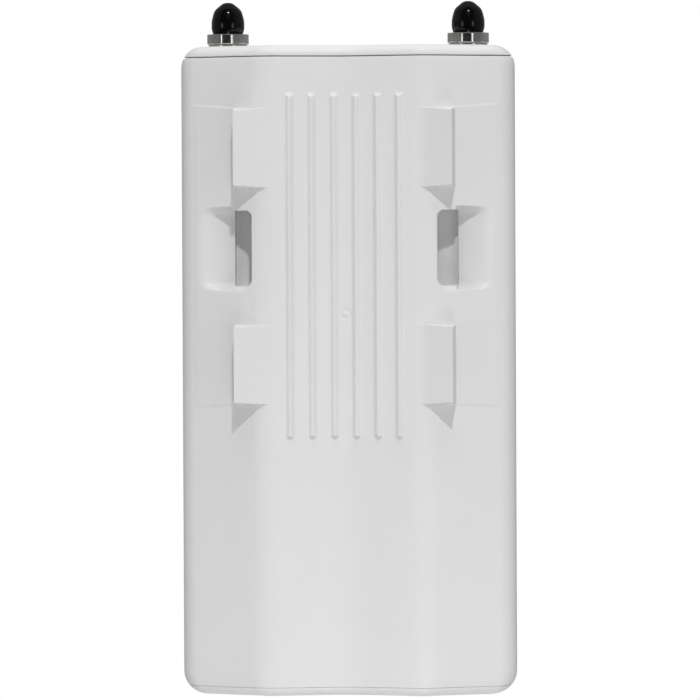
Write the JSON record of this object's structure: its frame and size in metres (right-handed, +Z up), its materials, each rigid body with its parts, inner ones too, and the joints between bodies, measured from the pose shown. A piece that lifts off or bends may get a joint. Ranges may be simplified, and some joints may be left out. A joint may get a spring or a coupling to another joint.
{
  "type": "outdoor wireless bridge",
  "caption": "Weatherproof pole-mounted radio bridge with antenna jacks on top, strap slots behind and a slide-off cable cover below.",
  "frame": {"origin": "the pole cradle's reference: on the line where the two cradle planes of the back meet, halfway up the strap slots", "axes": "+Z up along the pole towards the antenna jacks, +Y out of the front, +X to the right seen from behind"},
  "size_m": [0.08, 0.0309, 0.1657],
  "materials": {
    "white_shell": "fine-textured moulded plastic",
    "black_vinyl": "glossy soft vinyl",
    "nickel": "bright nickel plating",
    "gold": "gold plating",
    "ptfe": "waxy white",
    "circuit_board": "solder mask with copper traces",
    "tinned_steel": "tin plated sheet",
    "aluminium": "plain extruded",
    "chip_black": "moulded epoxy",
    "thermal_gel": "soft gap pad",
    "seal_rubber": "smooth silicone",
    "grommet_rubber": "matt rubber",
    "jack_plastic": "moulded thermoplastic",
    "tray_plastic": "plain moulded plastic",
    "button_grey": "smooth moulded plastic",
    "clear_guide": "clear moulded acrylic",
    "led_lens": "clear lens over yellow phosphor",
    "coax_sheath": "brown fluoropolymer sheath"
  },
  "bodies": {
    "housing": {"main_housing": "white_shell", "strap_web": "white_shell", "top_cap": "white_shell", "top_gasket": "seal_rubber", "board_tray": "tray_plastic", "main_board": "circuit_board", "board_screws": "tinned_steel", "rf_shield_can": "tinned_steel", "processor_chip": "chip_black", "memory_chips": "chip_black", "rf_amplifiers": "chip_black", "thermal_pad": "thermal_gel", "heat_spreader": "aluminium", "ethernet_transformer": "chip_black", "power_capacitors": "tinned_steel", "power_inductor": "chip_black", "status_leds": "led_lens", "light_guides": "clear_guide", "ethernet_jack": "jack_plastic", "ethernet_contacts": "gold", "reset_switch": "chip_black", "rf_jack_left": "nickel", "rf_jack_right": "nickel", "rf_insulators": "ptfe", "rf_contacts": "gold", "jack_seals": "seal_rubber", "lock_washers": "nickel", "jack_nuts": "nickel", "board_coax_sockets": "gold", "coax_jumper_left": "coax_sheath", "coax_jumper_right": "coax_sheath", "port_bulkhead": "white_shell", "bulkhead_gasket": "seal_rubber", "bulkhead_screws": "tinned_steel"},
    "bottom_cover": {"bottom_cover": "white_shell", "cable_grommet": "grommet_rubber"},
    "reset_button": {"reset_button": "button_grey", "switch_plunger": "ptfe"},
    "dust_cap_left": {"dust_cap_left": "black_vinyl"},
    "dust_cap_right": {"dust_cap_right": "black_vinyl"}
  },
  "joints": [
    {"name": "cover_slide", "type": "slide", "parent": "housing", "child": "bottom_cover", "axis": [0, 0, -1], "range_m": [0, 0.03]},
    {"name": "reset_press", "type": "slide", "parent": "housing", "child": "reset_button", "axis": [0, 0, 1], "range_m": [0, 0.0006], "stiffness_N_per_m": 2500, "springref_m": -0.0004},
    {"name": "dust_cap_left_pull", "type": "slide", "parent": "housing", "child": "dust_cap_left", "axis": [0, 0, 1], "range_m": [0, 0.012]},
    {"name": "dust_cap_right_pull", "type": "slide", "parent": "housing", "child": "dust_cap_right", "axis": [0, 0, 1], "range_m": [0, 0.012]}
  ]
}
